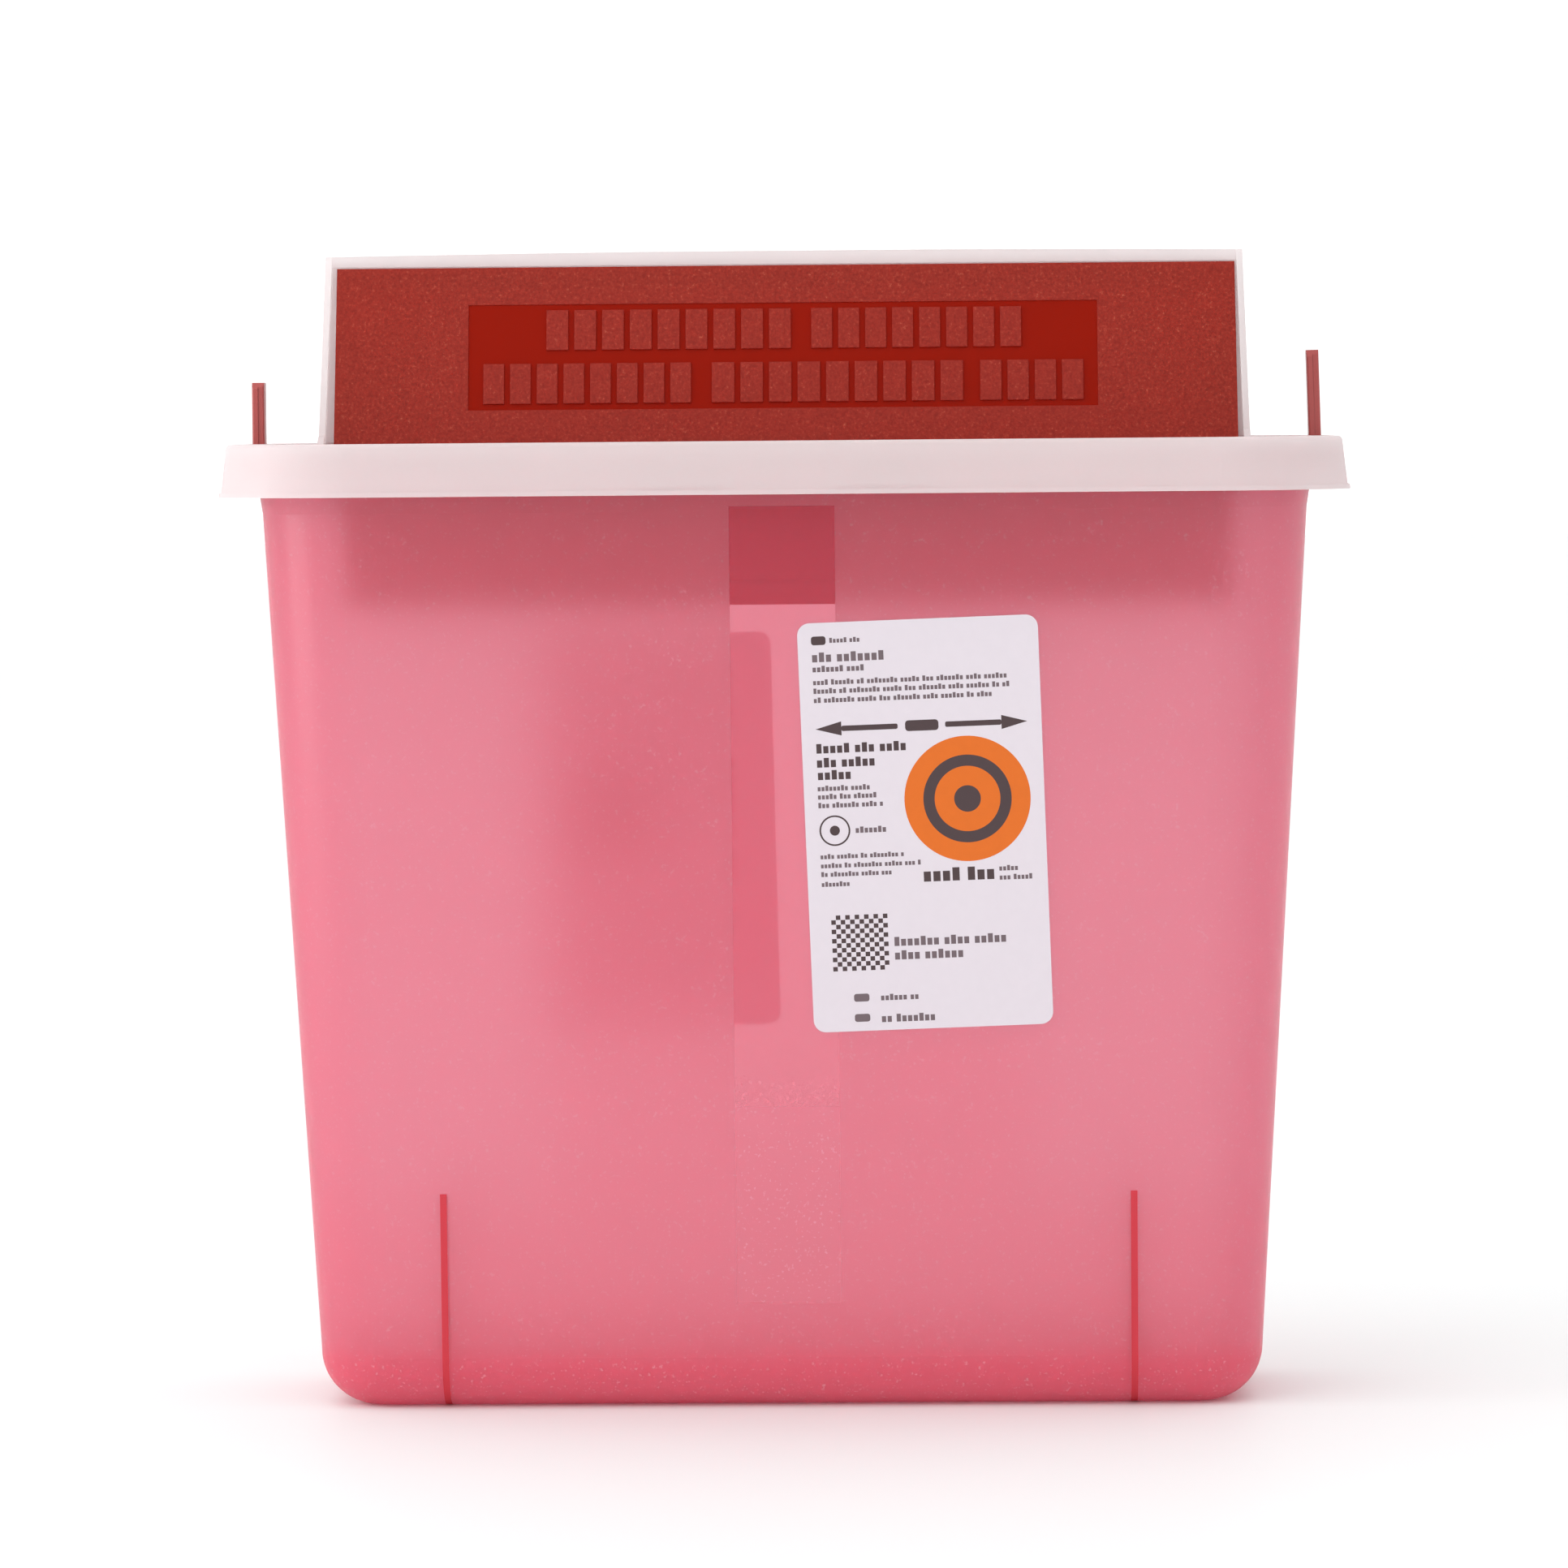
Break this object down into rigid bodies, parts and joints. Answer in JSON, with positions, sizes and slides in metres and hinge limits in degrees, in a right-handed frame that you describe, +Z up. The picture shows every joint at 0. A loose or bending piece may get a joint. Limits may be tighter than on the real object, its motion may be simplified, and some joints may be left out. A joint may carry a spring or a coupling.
{
  "type": "sharps container",
  "caption": "Tapered translucent red tub with a frosted clip-fit lid whose hood holds a counterbalanced drop tray, plus sliding lock pins.",
  "frame": {"origin": "centre of the tub's bottom, on the surface it stands on", "axes": "+Z up, -Y the front with the tray's mouth, +X to the right as seen from the front"},
  "size_m": [0.274, 0.1206, 0.2806],
  "materials": {
    "tub": "translucent red, lightly frosted, with a polished viewing strip",
    "lid": "frosted translucent white",
    "tray": "fine-grained opaque red with a polished field",
    "pin": "slightly translucent red",
    "label": "printed adhesive label"
  },
  "bodies": {
    "container": {"container_body": "tub", "lid": "lid", "front_label": "label", "rear_label": "label"},
    "tray": {"drop_tray": "tray"},
    "pin_left": {"lock_pin_left": "pin"},
    "pin_right": {"lock_pin_right": "pin"}
  },
  "joints": [
    {"name": "tray_hinge", "type": "hinge", "parent": "container", "child": "tray", "pos_m": [0, -0.024, 0.231], "axis": [1, 0, 0], "range_deg": [0, 75]},
    {"name": "left_pin_slide", "type": "slide", "parent": "container", "child": "pin_left", "axis": [0, 0, -1], "range_m": [0, 0.0151]},
    {"name": "right_pin_slide", "type": "slide", "parent": "container", "child": "pin_right", "axis": [0.0279, 0, -0.9996], "range_m": [0, 0.0209]}
  ]
}
